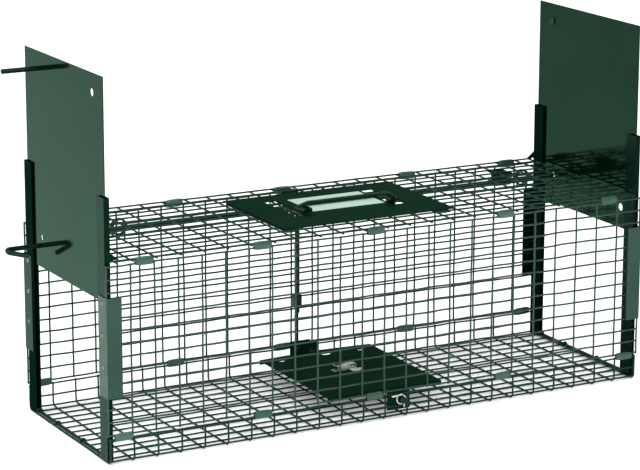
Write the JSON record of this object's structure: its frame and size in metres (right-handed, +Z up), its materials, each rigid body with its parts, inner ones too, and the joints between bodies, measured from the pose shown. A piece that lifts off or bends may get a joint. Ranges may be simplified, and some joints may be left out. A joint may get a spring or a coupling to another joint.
{
  "type": "live catch trap",
  "caption": "Long welded-mesh cage trap with a guillotine door at each end, set open, a treadle and a trigger linkage inside, and a folding carry handle on top.",
  "frame": {"origin": "on the floor, at the middle of the cage's length and width", "axes": "+X along the cage towards the right door, -Y towards the front side, +Z up"},
  "size_m": [0.6802, 0.22, 0.38],
  "materials": {
    "mesh_coating": "semi-gloss",
    "sheet_coating": "semi-gloss",
    "rod_coating": "semi-gloss",
    "bright_steel": "satin",
    "rivet_metal": "satin",
    "label_face": "matte"
  },
  "bodies": {
    "cage": {"floor_tray_mesh": "mesh_coating", "front_side_mesh": "mesh_coating", "back_side_mesh": "mesh_coating", "top_mesh": "mesh_coating", "sill_ties": "mesh_coating", "front_top_clips": "sheet_coating", "back_top_clips": "sheet_coating", "front_seam_clips": "sheet_coating", "back_seam_clips": "sheet_coating", "left_front_rail": "sheet_coating", "left_back_rail": "sheet_coating", "right_front_rail": "sheet_coating", "right_back_rail": "sheet_coating", "left_front_bracket": "sheet_coating", "left_back_bracket": "sheet_coating", "right_front_bracket": "sheet_coating", "right_back_bracket": "sheet_coating", "rail_gussets": "sheet_coating", "handle_plate": "sheet_coating", "handle_clamp_bars": "sheet_coating", "front_axle_plate": "sheet_coating", "back_axle_plate": "sheet_coating", "front_rocker_hanger": "sheet_coating", "back_rocker_hanger": "sheet_coating", "left_rod_guide": "sheet_coating", "right_rod_guide": "sheet_coating", "left_sill_rod": "rod_coating", "right_sill_rod": "rod_coating", "treadle_spring": "bright_steel", "left_rod_spring": "bright_steel", "right_rod_spring": "bright_steel", "bracket_rivets": "rivet_metal", "handle_plate_rivets": "rivet_metal", "label_plate": "label_face"},
    "left_door": {"left_door": "sheet_coating", "left_door_pin": "rod_coating", "left_door_hook": "rod_coating"},
    "right_door": {"right_door": "sheet_coating", "right_door_pin": "rod_coating"},
    "treadle": {"treadle_plate": "sheet_coating", "treadle_axle": "rod_coating", "axle_caps": "bright_steel", "bait_clip": "bright_steel", "bait_clip_rivet": "rivet_metal", "treadle_bracket": "sheet_coating", "treadle_bracket_rivet": "rivet_metal"},
    "rocker": {"rocker_shaft": "rod_coating", "left_rocker_arm": "rod_coating", "right_rocker_arm": "rod_coating", "trigger_rocker_arm": "rod_coating"},
    "trigger_rod": {"trigger_rod": "rod_coating", "trigger_sleeve": "rod_coating", "trigger_stop_block": "rod_coating"},
    "left_release_rod": {"left_release_rod": "rod_coating"},
    "right_release_rod": {"right_release_rod": "rod_coating"},
    "carry_handle": {"carry_handle": "rod_coating"}
  },
  "joints": [
    {"name": "left_door_slide", "type": "slide", "parent": "cage", "child": "left_door", "axis": [0, 0, 1], "range_m": [-0.151, 0.01]},
    {"name": "right_door_slide", "type": "slide", "parent": "cage", "child": "right_door", "axis": [0, 0, 1], "range_m": [-0.151, 0.01]},
    {"name": "treadle_tilt", "type": "hinge", "parent": "cage", "child": "treadle", "pos_m": [0.016, 0, 0.021], "axis": [0, -1, 0], "range_deg": [0, 8]},
    {"name": "rocker_turn", "type": "hinge", "parent": "cage", "child": "rocker", "pos_m": [-0.0096, 0.069, 0.183], "axis": [0, 1, 0], "range_deg": [0, 23]},
    {"name": "trigger_pull", "type": "slide", "parent": "cage", "child": "trigger_rod", "axis": [0, 0, -1], "range_m": [0, 0.0027]},
    {"name": "left_release", "type": "slide", "parent": "cage", "child": "left_release_rod", "axis": [1, 0, 0], "range_m": [0, 0.0032]},
    {"name": "right_release", "type": "slide", "parent": "cage", "child": "right_release_rod", "axis": [-1, 0, 0], "range_m": [0, 0.0032]},
    {"name": "handle_fold", "type": "hinge", "parent": "cage", "child": "carry_handle", "pos_m": [0, -0.023, 0.2082], "axis": [1, 0, 0], "range_deg": [0, 180]}
  ],
  "couplings": [
    {"joint": "rocker_turn", "follows": "treadle_tilt", "ratio": 2.865},
    {"joint": "trigger_pull", "follows": "treadle_tilt", "m_per_rad": 0.019},
    {"joint": "left_release", "follows": "treadle_tilt", "m_per_rad": 0.0229},
    {"joint": "right_release", "follows": "treadle_tilt", "m_per_rad": 0.0229}
  ]
}
